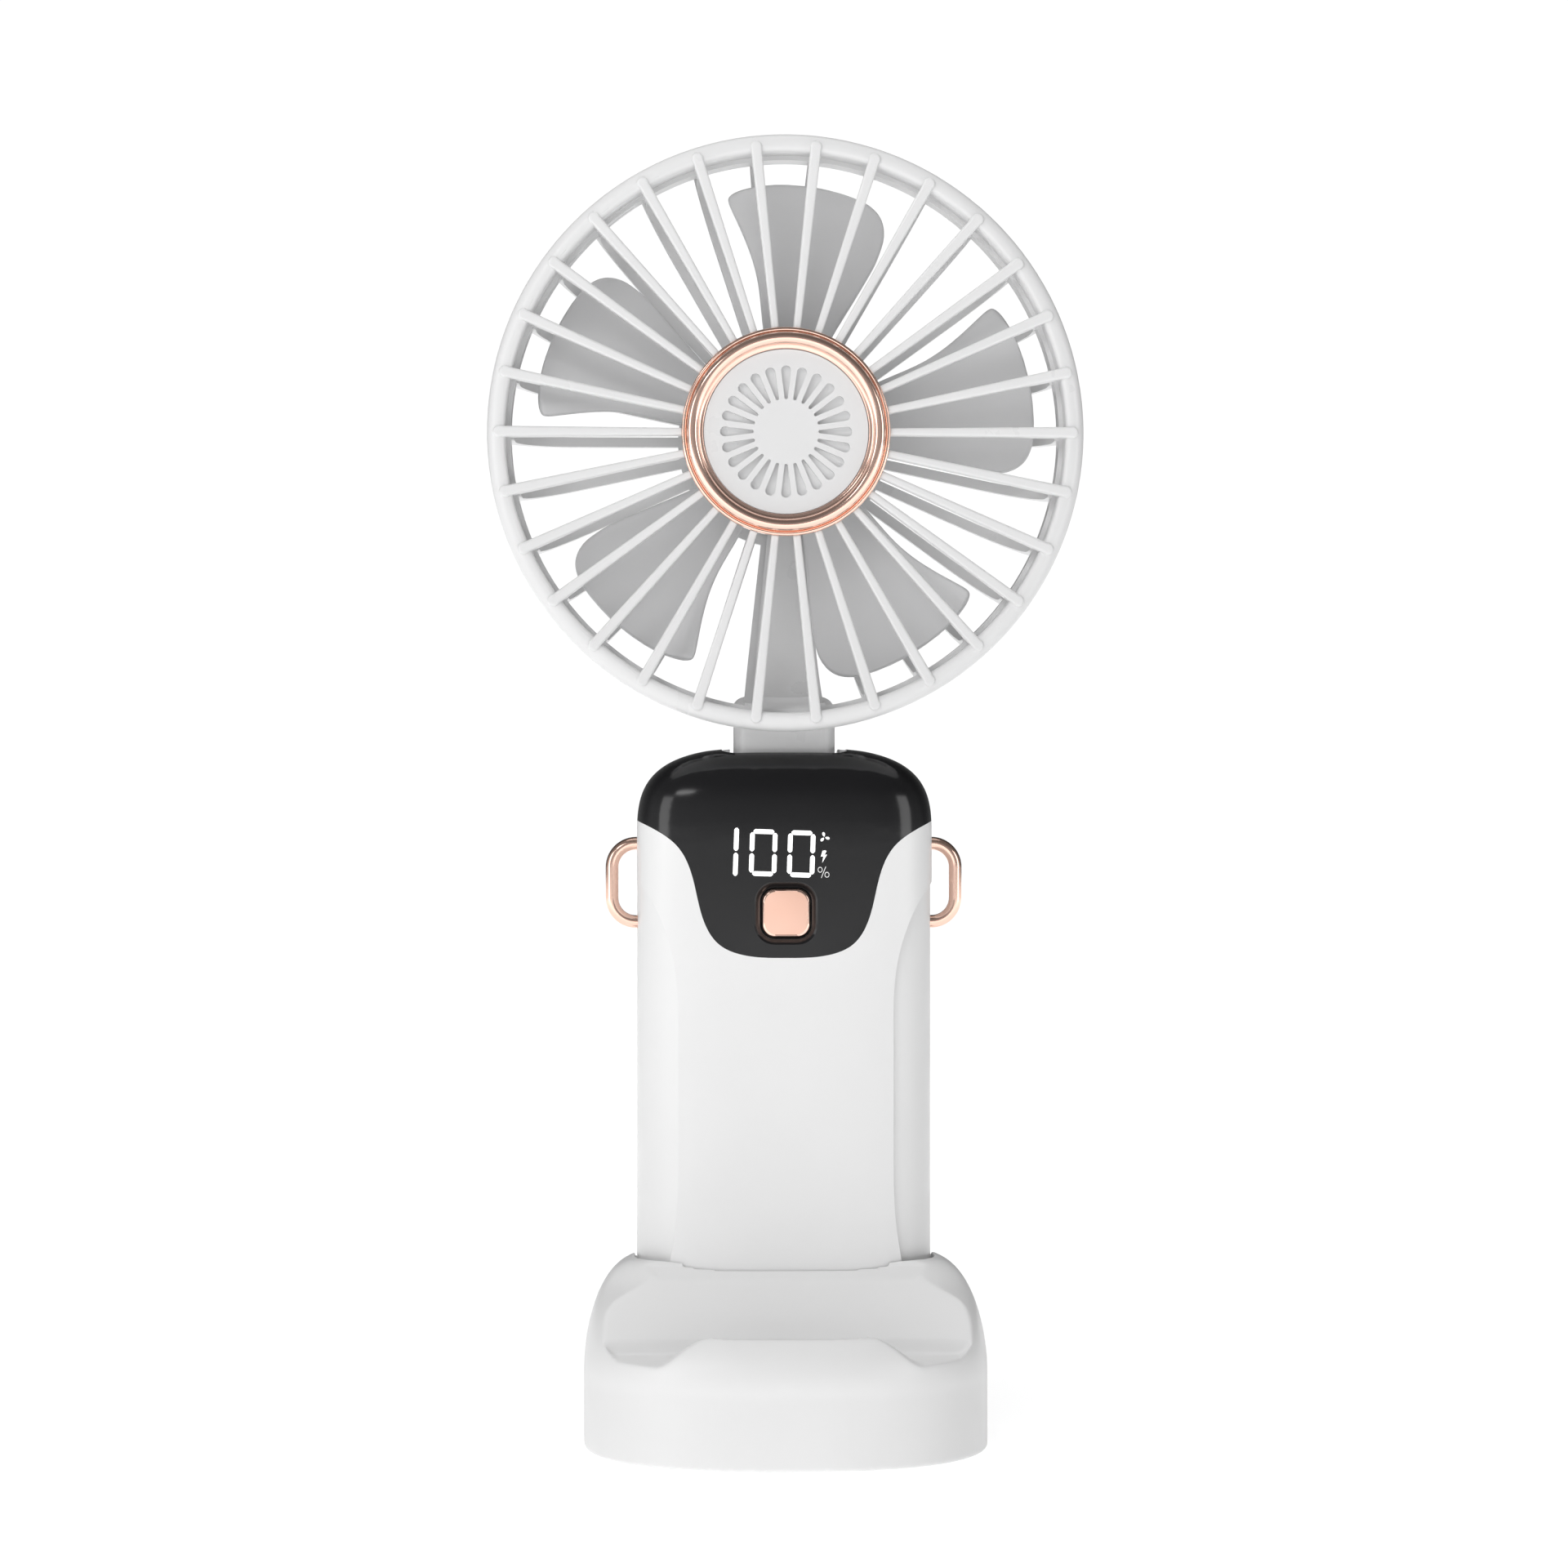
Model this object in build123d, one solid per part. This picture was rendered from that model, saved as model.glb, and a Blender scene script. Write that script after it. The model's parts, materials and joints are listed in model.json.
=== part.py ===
from build123d import *
import math
import os

# Handheld electric fan that stands in a phone-rest base. Millimetres, +Z up, the fan blows
# towards -Y. The origin is the middle of the base's underside, on the surface it stands on.

# ---- driving dimensions: base ----
BASE_HALF = 32.5            # half width and half depth of the base at the floor
BASE_POWER = 2.5            # superellipse power of the base's plan
BASE_LIFT = 0.4             # the feet hold the base this far off the surface
BASE_TOP = 30.0
BASE_SIDE_TOP = 12.0        # the side is upright up to here, then rounds in
BASE_SHOULDER = 8.4         # how far the shoulder rounds in
BASE_WALL = 3.0
CAVITY_TOP = 10.0           # underside of the socket floor
# How far the shoulder reaches forward of the middle, by degrees round the shoulder.
BASE_FRONT = [(0, 32.5), (15, 32.2), (30, 28.6), (45, 18.8), (60, 10.6), (75, 8.0), (90, 6.6)]

# ---- driving dimensions: handle ----
SPLIT_Y = 9.0               # parting plane between the handle's shells
HANDLE_HALF_X = 24.0
HANDLE_HALF_Y = 14.5
HANDLE_BOTTOM = 12.05
HANDLE_TOP = 112.5
SHOULDER_Z = 97.5           # the handle is prismatic up to here
SHOULDER_POWER = 3.2
HANDLE_WALL = 2.2
FACE_POWER = 4.0            # plan power of the flat front face and of the rear
BAND_POWER = 3.0            # plan power of the rounder side grip bands
PANEL_SKIN = 1.2
PANEL_REAR_Y = 7.6          # the black panel ends just ahead of the crest
SOCKET_GAP = 0.3

# ---- driving dimensions: head ----
HEAD_Z = 163.0              # height of the head's axis
RING_R = 48.0
RING_FRONT_Y = -5.0
RING_JOINT_Y = -0.2         # front and rear grille meet here
RING_REAR_Y = 4.5
RIB_COUNT = 30
REAR_HUB_Y = 16.3           # front face of the rear hub
HEAD_REAR_Y = 18.5
BOWL_CENTRE_R = 34.0        # centre of the rear cage's rounded shoulder
BOWL_CENTRE_Y = 6.5
COVER_OUTER = 3.0           # the wire channel's cover, as offsets inside the cage's skin
COVER_INNER = 3.6
HUB_R = 16.2
REAR_HUB_R = 17.3
CAP_BOSS_R = 11.0           # the boss behind the hub cap
TRIM_R = 16.8
TRIM_BORE_R = 13.3
BLADE_COUNT = 5
SHAFT_R = 1.47
BEARING_BORE_R = 1.5

# ---- driving dimensions: tilt hinge ----
PIVOT_Y = 9.0
PIVOT_Z = 99.0
NECK_HALF_X = 8.2
NECK_HALF_Y = 6.0
SLOT_HALF_X = 10.2
SLOT_FRONT_Y = 0.5
SLOT_BOTTOM_Z = 91.5
PIN_R = 1.5
PIN_GAP = 0.05
COVER_CHEEK_X = 8.9         # inner face of the cheeks that line the slot

# ---- driving dimensions: control panel ----
BUTTON_SIZE = 7.8
BUTTON_Z = 85.8
DISPLAY_X = -0.6
DISPLAY_Z = 95.6
BOARD_FRONT_Y = -0.8
BOARD_REAR_Y = 0.8

os.makedirs("parts", exist_ok=True)


# ---- helpers ----
def front_prism(face, y_front, y_back, taper=0):
    """Extrude a face drawn in front view (x, z) from y_back forward to y_front."""
    plane = Plane(origin=(0, y_back, 0), x_dir=(1, 0, 0), z_dir=(0, -1, 0))
    return extrude(plane * face, amount=y_back - y_front, taper=taper)


def side_prism(face, x_low, x_high):
    """Extrude a face drawn in side view (y, z) from x_low to x_high."""
    plane = Plane(origin=(x_low, 0, 0), x_dir=(0, 1, 0), z_dir=(1, 0, 0))
    return extrude(plane * face, amount=x_high - x_low)


def plan_prism(face, z_low, z_high):
    return extrude(Plane.XY.offset(z_low) * face, amount=z_high - z_low)


def block(x_low, x_high, y_low, y_high, z_low, z_high):
    size = (x_high - x_low, y_high - y_low, z_high - z_low)
    middle = ((x_low + x_high) / 2, (y_low + y_high) / 2, (z_low + z_high) / 2)
    return Pos(*middle) * Box(*size)


def rod_x(radius, x_low, x_high, y, z):
    return side_prism(Pos(y, z) * Circle(radius), x_low, x_high)


def rod_y(radius, y_low, y_high, x=0.0, z=HEAD_Z):
    return front_prism(Pos(x, z) * Circle(radius), y_low, y_high)


def rod_z(radius, z_low, z_high, x, y):
    return plan_prism(Pos(x, y) * Circle(radius), z_low, z_high)


def tube_y(outer, inner, y_low, y_high):
    ring = Circle(outer) - Circle(inner)
    return front_prism(Pos(0, HEAD_Z) * ring, y_low, y_high)


def spun(face):
    """Revolve a (radius, y) section about the head's axis."""
    return revolve(Plane.XY.offset(HEAD_Z) * face, axis=Axis((0, 0, HEAD_Z), (0, 1, 0)))


def polygon(*points):
    return make_face(Polyline(*points, close=True))


def rounded_polygon(points, radii):
    """A polygon with the corners named in radii, {index: radius}, rounded."""
    face = polygon(*points)
    for index, radius in radii.items():
        corner = face.vertices().sort_by_distance(points[index] + (0,))[0]
        face = fillet(corner, radius)
    return face


def around_head(shape, count, start=0.0):
    axis = Axis((0, 0, HEAD_Z), (0, 1, 0))
    return [shape.rotate(axis, -(start + 360.0 * index / count)) for index in range(count)]


def fused(first, others):
    whole = first
    for other in others:
        whole = whole + other
    return whole


def mirrored_x(shape):
    return [shape, mirror(shape, about=Plane.YZ)]


def save(name, *shapes):
    solids = []
    for shape in shapes:
        solids.extend(shape.solids())
    result = solids[0] if len(solids) == 1 else Compound(children=solids)
    result.label = name
    export_step(result, "parts/" + name + ".step")


def superellipse(half_x, half_y, power, centre_y=0.0, points=32):
    outline = []
    for index in range(points):
        angle = 2 * math.pi * index / points
        cosine, sine = math.cos(angle), math.sin(angle)
        x = half_x * math.copysign(abs(cosine) ** (2 / power), cosine)
        y = half_y * math.copysign(abs(sine) ** (2 / power), sine)
        outline.append((x, centre_y + y))
    return make_face(Spline(*outline, periodic=True))


def handle_form(power, inset=0.0, bottom=HANDLE_BOTTOM):
    """The handle's outer form, or the same form drawn in by an inset."""
    half_x = HANDLE_HALF_X - inset
    half_y = HANDLE_HALF_Y - inset
    rise = HANDLE_TOP - SHOULDER_Z - inset
    stem = plan_prism(superellipse(half_x, half_y, power, SPLIT_Y), bottom, SHOULDER_Z)
    sections = []
    for degrees in (0, 3, 10, 20, 30, 40, 50, 60, 70, 78):
        angle = math.radians(degrees)
        scale = math.cos(angle) ** (2 / SHOULDER_POWER)
        height = SHOULDER_Z + rise * math.sin(angle) ** (2 / SHOULDER_POWER)
        outline = superellipse(half_x * scale, half_y * scale, power, SPLIT_Y)
        sections.append(Plane.XY.offset(height) * outline)
    return stem + loft(sections)


def base_form():
    """The base's outer form: an upright side and a shoulder that leans back at the front."""
    side = plan_prism(superellipse(BASE_HALF, BASE_HALF, BASE_POWER), BASE_LIFT, BASE_SIDE_TOP)
    rear_sections, front_sections = [], []
    for degrees, front_depth in BASE_FRONT:
        angle = math.radians(degrees)
        size = BASE_HALF - BASE_SHOULDER * (1 - math.cos(angle))
        level = Plane.XY.offset(BASE_SIDE_TOP + (BASE_TOP - BASE_SIDE_TOP) * math.sin(angle))
        rear_sections.append(level * superellipse(size, size, BASE_POWER))
        front_sections.append(level * superellipse(size, front_depth, BASE_POWER))
    rear = loft(rear_sections) & block(-40, 40, 0, 40, 0, 40)
    front = loft(front_sections) & block(-40, 40, -40, 0, 0, 40)
    return side + rear + front


def screw(head_r, head_h, shank_r, length):
    """A cross-head screw along Z: head from 0 to head_h, shank below it."""
    cross = block(-head_r * 0.6, head_r * 0.6, -0.25, 0.25, head_h - 0.5, head_h + 1)
    head = Pos(0, 0, head_h / 2) * Cylinder(head_r, head_h)
    shank = Pos(0, 0, -length / 2) * Cylinder(shank_r, length)
    return head + shank - cross - cross.rotate(Axis.Z, 90)


# ---- base ----
def recess_outline():
    """Front view of what the phone rest takes off, with the lip's hump in the middle."""
    half = [(0, 22.1), (6.5, 22.0), (10.2, 21.6), (13.6, 20.5), (17.0, 18.4), (19.7, 16.5),
            (22.6, 15.8), (26.4, 16.3), (28.7, 17.9), (29.3, 20.0)]
    left = [(-x, z) for x, z in reversed(half[1:])]
    lower = Spline(*(left + half))
    above = Polyline((29.3, 20.0), (36.0, 20.0), (36.0, 45.0), (-36.0, 45.0), (-36.0, 20.0),
                     (-29.3, 20.0))
    return make_face([lower] + above.edges())


def base_parts():
    slope = polygon((-7.6, 27.9), (-16.2, 18.9), (-16.8, 16.6), (-45, 15.4), (-45, 45),
                    (-7.6, 45))
    ahead_of_slope = side_prism(slope, -40, 40)
    recess = front_prism(recess_outline(), -45, 0) & ahead_of_slope
    lip_inside = plan_prism(superellipse(29.0, 29.0, BASE_POWER), 16.2, 24.0)
    groove = lip_inside & ahead_of_slope & block(-25.6, 25.6, -40, -10, 16.2, 24.0)
    rim = polygon((-5.0, 29.3), (-8.1, 27.35), (-14, 27.35), (-14, 40), (-5.0, 40))
    rim_ends = polygon((-19.5, 26.4), (19.5, 26.4), (24.1, 31), (-24.1, 31))
    rim_cut = side_prism(rim, -30, 30) & front_prism(rim_ends, -14, -2)

    socket_outline = superellipse(HANDLE_HALF_X + SOCKET_GAP, HANDLE_HALF_Y + SOCKET_GAP,
                                  FACE_POWER, SPLIT_Y)
    socket = plan_prism(socket_outline, HANDLE_BOTTOM - 0.05, 45)
    cavity_half = BASE_HALF - BASE_WALL
    cavity = plan_prism(superellipse(cavity_half, cavity_half, BASE_POWER), -1, CAVITY_TOP)
    shell = base_form() - recess - groove - rim_cut - socket - cavity
    posts = []
    screws = []
    plate_holes = []
    for x in (-21, 21):
        for y in (-18, 18):
            post = rod_z(3.2, 2.4, CAVITY_TOP, x, y) - rod_z(1.2, 0, 8.4, x, y)
            posts.append(post)
            screws.append(Pos(x, y, 1.0) * (Rot(180, 0, 0) * screw(2.2, 0.6, 1.2, 7.0)))
            plate_holes.append(rod_z(1.2, 0, 3, x, y) + rod_z(2.4, 0, 1.0, x, y))
    shell = fused(shell, posts)
    save("base_shell", shell)

    plate = plan_prism(superellipse(29.4, 29.4, BASE_POWER), 0.4, 2.4)
    for hole in plate_holes:
        plate = plate - hole
    foot = rod_z(4.0, 0.0, 1.2, 0, 24.4)
    feet = [foot.rotate(Axis.Z, 90.0 * index) for index in range(4)]
    for pad in feet:
        plate = plate - pad
    save("base_bottom_plate", plate)
    save("base_feet", *feet)
    save("base_screws", *screws)

    weight = plan_prism(superellipse(28.6, 28.6, BASE_POWER), 2.4, 9.2)
    for x in (-21, 21):
        for y in (-18, 18):
            weight = weight - rod_z(3.8, 0, 12, x, y)
    save("base_counterweight", weight)


# ---- handle ----
def grip_band_cut():
    """What is taken off the front right corner of the handle to leave a rounder grip band."""
    crease = [(27.0, 93.0), (23.0, 89.6), (19.4, 83.0), (17.6, 75.5), (17.3, 66.0),
              (17.3, 46.0), (17.6, 37.0), (19.0, 28.0), (21.0, 20.0)]
    view = make_face([Spline(*crease), Line(crease[-1], (21.0, 5.0)), Line((21.0, 5.0), (30.0, 5.0)),
                      Line((30.0, 5.0), (30.0, 93.0)), Line((30.0, 93.0), crease[0])])
    band = superellipse(HANDLE_HALF_X - 0.1, HANDLE_HALF_Y - 0.1, BAND_POWER, SPLIT_Y)
    outside = plan_prism(Rectangle(90, 90) - band, 5, 95)
    return outside & front_prism(view, -20, SPLIT_Y)


def panel_outline():
    """Front view of the black panel: full width over the top, a tongue round the button."""
    half = [(0, 78.6), (7.0, 79.1), (10.8, 80.8), (13.0, 84.0), (14.4, 89.0), (15.4, 92.8),
            (17.2, 96.2), (20.6, 98.9), (25.0, 101.0)]
    left = [(-x, z) for x, z in reversed(half[1:])]
    return make_face([Spline(*(left + half)), Line((25.0, 101.0), (25.0, 120.0)),
                      Line((25.0, 120.0), (-25.0, 120.0)), Line((-25.0, 120.0), (-25.0, 101.0))])


def button_face(size, corner):
    return Pos(0, BUTTON_Z) * RectangleRounded(size, size, corner)


def slot_cut():
    """The slot that the neck stands in and folds back through."""
    view = Pos(0, 105) * Rectangle(2 * SLOT_HALF_X, 40)
    plan = Pos(0, 20) * RectangleRounded(2 * SLOT_HALF_X, 2 * (20 - SLOT_FRONT_Y), 2.6)
    return front_prism(view, -10, 40) & plan_prism(plan, SLOT_BOTTOM_Z, 125)


def loop_path(side):
    """Centre line of a lanyard loop, from inside the wall, out, down and back in."""
    reach = 28.1
    points = [(side * 21.2, SPLIT_Y, 96.8), (side * reach, SPLIT_Y, 96.8),
              (side * reach, SPLIT_Y, 84.0), (side * 21.2, SPLIT_Y, 84.0)]
    return FilletPolyline(*points, radius=3.9)


def lanyard_loop(side):
    path = loop_path(side)
    start = Plane(origin=path @ 0, z_dir=path % 0)
    wire = sweep(start * Circle(1.05), path=path)
    collars = [rod_x(1.7, 20.4, 21.4, SPLIT_Y, z) for z in (84.0, 96.8)]
    if side < 0:
        collars = [mirror(collar, about=Plane.YZ) for collar in collars]
    return fused(wire, collars)


SHELL_SCREWS = [(16.5, 17.2), (16.6, 84.6)]
BRACKET_SCREWS = [94.2, 102.4]
BOARD_SCREWS = [79.0, 101.0]


def handle_parts():
    full = handle_form(FACE_POWER)
    front_half = block(-60, 60, -60, SPLIT_Y, 0, 130)
    rear_half = block(-60, 60, SPLIT_Y, 60, 0, 130)
    hollow_floor = HANDLE_BOTTOM + HANDLE_WALL
    slot = slot_cut()
    loop_holes = [rod_x(1.05, 20, 26, SPLIT_Y, z) for z in (84.0, 96.8)]
    loop_holes += [mirror(hole, about=Plane.YZ) for hole in loop_holes]

    panel_zone = front_prism(panel_outline(), -20, PANEL_REAR_Y)
    panel = (full - handle_form(FACE_POWER, PANEL_SKIN)) & panel_zone
    panel = panel - slot

    front = (full & front_half) - handle_form(BAND_POWER, HANDLE_WALL, hollow_floor)
    for cut in mirrored_x(grip_band_cut()):
        front = front - cut
    front = front - panel - slot
    button_hole = front_prism(button_face(BUTTON_SIZE + 0.5, 2.3), -10, 0)
    dish = front_prism(button_face(BUTTON_SIZE + 0.6, 2.4), -5.8, -4.9, taper=-55)
    panel = panel - button_hole - dish
    window = front_prism(Pos(DISPLAY_X, DISPLAY_Z) * Rectangle(16.2, 9.6), -5.0, -2.0)
    front = front - button_hole - window

    bosses = []
    cuts = []
    for x, z in SHELL_SCREWS:
        bosses += mirrored_x(rod_y(2.6, -1.0, 8.9, x, z))
        cuts += mirrored_x(rod_y(1.0, 2.0, 20, x, z))
    for z in BRACKET_SCREWS:
        bosses += mirrored_x(rod_y(2.3, -2.2, 3.0, 16.0, z))
        cuts += mirrored_x(rod_y(0.8, -0.4, 5, 16.0, z))
    for z in BOARD_SCREWS:
        bosses += mirrored_x(rod_y(2.0, -3.6, BOARD_FRONT_Y, 10.6, z))
        cuts += mirrored_x(rod_y(0.7, -3.0, 0, 10.6, z))
    for z in (30.0, 62.0):
        bosses.append(block(-9, 9, -3.6, 1.2, z, z + 1.6))
    front = fused(front, bosses)
    for cut in cuts + loop_holes:
        front = front - cut
    save("handle_front_shell", front)
    save("display_panel", panel)

    rear = (full & rear_half) - handle_form(FACE_POWER, HANDLE_WALL, hollow_floor)
    rear = rear - slot
    pillars = []
    cuts = []
    for x, z in SHELL_SCREWS:
        pillars += mirrored_x(rod_y(2.7, 9.05, 21.4, x, z))
        cuts += mirrored_x(rod_y(1.15, 0, 30, x, z) + rod_y(2.2, 20.2, 30, x, z))
    pillars += mirrored_x(block(5.4, 8.4, 13.0, 21.6, 75.4, 76.9))
    rear = fused(rear, pillars)
    for cut in cuts + loop_holes:
        rear = rear - cut
    port = front_prism(Pos(0, 80.0) * RectangleRounded(9.3, 3.6, 1.75), 15, 30)
    flare = front_prism(Pos(0, 80.0) * RectangleRounded(11.3, 5.6, 2.7), 22.9, 30)
    vents = [front_prism(Pos(0, z) * SlotOverall(14, 1.2), 15, 30) for z in (60.0, 56.5, 53.0)]
    rear = rear - port - flare
    for vent in vents:
        rear = rear - vent
    save("handle_rear_shell", rear)

    save("lanyard_loop_left", lanyard_loop(-1))
    save("lanyard_loop_right", lanyard_loop(1))
    screws = []
    for x, z in SHELL_SCREWS:
        fastener = Pos(x, 20.2, z) * (Rot(-90, 0, 0) * screw(1.9, 1.2, 1.0, 17.5))
        screws += mirrored_x(fastener)
    save("handle_screws", *screws)


def button_parts():
    cap = front_prism(button_face(BUTTON_SIZE, 2.1), -5.9, -3.05)
    crown_edges = cap.faces().sort_by(Axis.Y)[0].edges()
    cap = chamfer(crown_edges, 0.4)
    flange = front_prism(button_face(BUTTON_SIZE + 1.2, 2.6), -3.05, -2.7)
    save("power_button", cap + flange)
    plunger = rod_y(1.1, -2.7, -1.95, 0, BUTTON_Z)
    save("switch_plunger", plunger)


def electronics_parts():
    module = block(DISPLAY_X - 7.9, DISPLAY_X + 7.9, -4.2, -1.2, DISPLAY_Z - 4.6, DISPLAY_Z + 4.6)
    pins = [block(DISPLAY_X - 7 + 3.3 * index, DISPLAY_X - 6.4 + 3.3 * index, -1.2,
                  BOARD_FRONT_Y, DISPLAY_Z - 4, DISPLAY_Z - 3.4) for index in range(5)]
    save("display_module", fused(module, pins))

    board = front_prism(Pos(0, 90) * RectangleRounded(26, 27, 1.0), BOARD_FRONT_Y, BOARD_REAR_Y)
    for z in BOARD_SCREWS:
        for hole in mirrored_x(rod_y(0.9, -2, 2, 10.6, z)):
            board = board - hole
    chips = [block(-3.5, 3.5, BOARD_REAR_Y, 1.7, 84, 91), block(5.0, 8.0, BOARD_REAR_Y, 1.5, 86, 88),
             block(-8.0, -5.2, BOARD_REAR_Y, 1.9, 88, 90.5)]
    save("main_board", fused(board, chips))

    switch = block(-2.9, 2.9, -2.25, BOARD_FRONT_Y, BUTTON_Z - 2.9, BUTTON_Z + 2.9)
    switch = switch - rod_y(1.2, -3, -1.3, 0, BUTTON_Z)
    save("tact_switch", switch)

    screws = []
    for z in BOARD_SCREWS:
        fastener = Pos(10.6, BOARD_REAR_Y, z) * (Rot(-90, 0, 0) * screw(1.5, 0.9, 0.7, 3.4))
        screws += mirrored_x(fastener)
    save("board_screws", *screws)

    charge_board = block(-8.2, 8.2, 13.2, 20.8, 76.9, 78.2)
    chip = block(-7.4, -5.6, 14.5, 17.5, 78.2, 79.1)
    save("charge_board", charge_board + chip)
    shell = front_prism(Pos(0, 79.8) * RectangleRounded(8.9, 3.2, 1.55), 15.8, 22.8)
    mouth = front_prism(Pos(0, 79.8) * RectangleRounded(8.3, 2.6, 1.25), 16.6, 30)
    tongue = block(-3.3, 3.3, 16.2, 21.8, 79.5, 80.1)
    save("usb_c_port", shell - mouth + tongue)


CELL_R = 9.15
CELL_X = 9.3
CELL_Y = 11.5
CELL_LOW = 21.8
CELL_HIGH = 71.4


def battery_parts():
    spine = block(-15, 15, 1.2, 2.2, 20.4, 73.3)
    bottom_cap = block(-17.0, 17.0, 2.2, 19.0, 20.4, 21.6)
    top_cap = block(-17.0, 17.0, 6.4, 19.0, 72.1, 73.3)
    link = block(-2, 2, 2.2, 6.4, 72.1, 73.3)
    save("battery_holder", fused(spine, [bottom_cap, top_cap, link]))
    for name, x in (("battery_cell_left", -CELL_X), ("battery_cell_right", CELL_X)):
        can = rod_z(CELL_R, CELL_LOW, CELL_HIGH, x, CELL_Y)
        groove = rod_z(CELL_R + 1, 68.4, 69.4, x, CELL_Y) - rod_z(CELL_R - 0.5, 68, 70, x, CELL_Y)
        cap = rod_z(2.7, CELL_HIGH, 71.9, x, CELL_Y)
        save(name, can - groove + cap)
    lower = block(-13, 13, 8.5, 14.5, 21.6, CELL_LOW)
    upper = mirrored_x(block(5.5, 13, 4.0, 14.5, 71.9, 72.1))
    save("nickel_strips", lower, *upper)
    leads = []
    for x in (-6.4, 6.4):
        path = FilletPolyline((x, 5.0, 72.1), (x, 5.0, 79.0), (x, BOARD_REAR_Y, 79.0), radius=2.2)
        start = Plane(origin=path @ 0, z_dir=path % 0)
        leads.append(sweep(start * Circle(0.6), path=path))
    save("battery_leads", *leads)


def bracket_profile(outer):
    """Side view of the hinge bracket's cheek: upright sides with a round top about the pin."""
    front, rear = PIVOT_Y - outer, PIVOT_Y + outer
    return make_face([Line((rear, 90.0), (front, 90.0)), Line((front, 90.0), (front, PIVOT_Z)),
                      ThreePointArc((front, PIVOT_Z), (PIVOT_Y, PIVOT_Z + outer), (rear, PIVOT_Z)),
                      Line((rear, PIVOT_Z), (rear, 90.0))])


def hinge_parts():
    cheek = side_prism(bracket_profile(5.2), 10.3, 11.4)
    flange = block(11.4, 18.6, 3.0, 4.2, 91.6, 105.0)
    root = block(10.3, 11.4, 3.0, 3.9, 91.6, 103.0)
    wing = fused(cheek, [flange, root])
    for z in BRACKET_SCREWS:
        wing = wing - rod_y(0.9, 2, 6, 16.0, z)
    web = block(-11.4, 11.4, 3.8, 14.2, 88.9, 90.0)
    bracket = fused(web, mirrored_x(wing))
    bracket = bracket - rod_x(PIN_R, -13, 13, PIVOT_Y, PIVOT_Z)
    save("hinge_bracket", bracket)

    pin = rod_x(PIN_R, -12.0, 12.0, PIVOT_Y, PIVOT_Z)
    heads = mirrored_x(rod_x(2.6, 11.4, 12.2, PIVOT_Y, PIVOT_Z))
    save("hinge_pin", fused(pin, heads))
    washer = rod_x(5.0, 8.3, COVER_CHEEK_X, PIVOT_Y, PIVOT_Z) - rod_x(PIN_R, 8, 10, PIVOT_Y, PIVOT_Z)
    save("friction_washers", *mirrored_x(washer))

    below = block(-10, 10, 0, PIVOT_Y, 85, PIVOT_Z)
    trough = rod_x(7.4, -9.0, 9.0, PIVOT_Y, PIVOT_Z) - rod_x(6.6, -10, 10, PIVOT_Y, PIVOT_Z)
    front_wall = block(-9.0, 9.0, PIVOT_Y - 7.4, PIVOT_Y - 6.6, PIVOT_Z, 109.0)
    floor = block(-9.0, 9.0, PIVOT_Y, 23.2, PIVOT_Z - 7.4, PIVOT_Z - 6.6)
    form = handle_form(FACE_POWER, 0.15)
    cheek = block(COVER_CHEEK_X, SLOT_HALF_X - 0.1, 3.2, 23.2, PIVOT_Z - 7.4, 120) & form
    cheek = cheek - rod_x(PIN_R, 8, 11, PIVOT_Y, PIVOT_Z)
    cover = fused(trough & below, [front_wall, floor & form] + mirrored_x(cheek))
    save("hinge_cover", cover)
    screws = []
    for z in BRACKET_SCREWS:
        fastener = Pos(16.0, 4.2, z) * (Rot(-90, 0, 0) * screw(1.6, 1.0, 0.8, 4.4))
        screws += mirrored_x(fastener)
    save("bracket_screws", *screws)


# ---- head ----
def bowl_band(outer_offset, inner_offset, ring_end, hub_end):
    """Section of the rear cage's quarter-round shoulder, between two offsets inside its skin."""
    outer, inner = 12.0 - outer_offset, 12.0 - inner_offset
    middle = math.sqrt(0.5)
    cr, cy = BOWL_CENTRE_R, BOWL_CENTRE_Y
    outer_arc = ThreePointArc((cr + outer, cy), (cr + outer * middle, cy + outer * middle),
                              (cr, cy + outer))
    inner_arc = ThreePointArc((cr, cy + inner), (cr + inner * middle, cy + inner * middle),
                              (cr + inner, cy))
    return make_face([outer_arc, Line((cr, cy + outer), (hub_end, cy + outer)),
                      Line((hub_end, cy + outer), (hub_end, cy + inner)),
                      Line((hub_end, cy + inner), (cr, cy + inner)), inner_arc,
                      Line((cr + inner, cy), (cr + inner, ring_end)),
                      Line((cr + inner, ring_end), (cr + outer, ring_end)),
                      Line((cr + outer, ring_end), (cr + outer, cy))])


RING_SECTION = [(44.3, RING_JOINT_Y), (44.3, RING_REAR_Y), (RING_R, RING_REAR_Y),
                (RING_R, RING_JOINT_Y)]


def head_envelope():
    """Everything inside the head's outer skin, used to trim what meets it."""
    drum = polygon((0, -20), (RING_R, -20), (RING_R, RING_JOINT_Y), (0, RING_JOINT_Y))
    ring = rounded_polygon([(0, RING_JOINT_Y), (0, RING_REAR_Y), (RING_R, RING_REAR_Y),
                            (RING_R, RING_JOINT_Y)], {2: 1.8})
    return spun(drum) + spun(ring) + spun(bowl_band(0.0, 11.9, 3.0, 0.0)) + spun(
        polygon((0, 3.0), (40.0, 3.0), (34.2, 8.0), (0, 8.0)))


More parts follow.
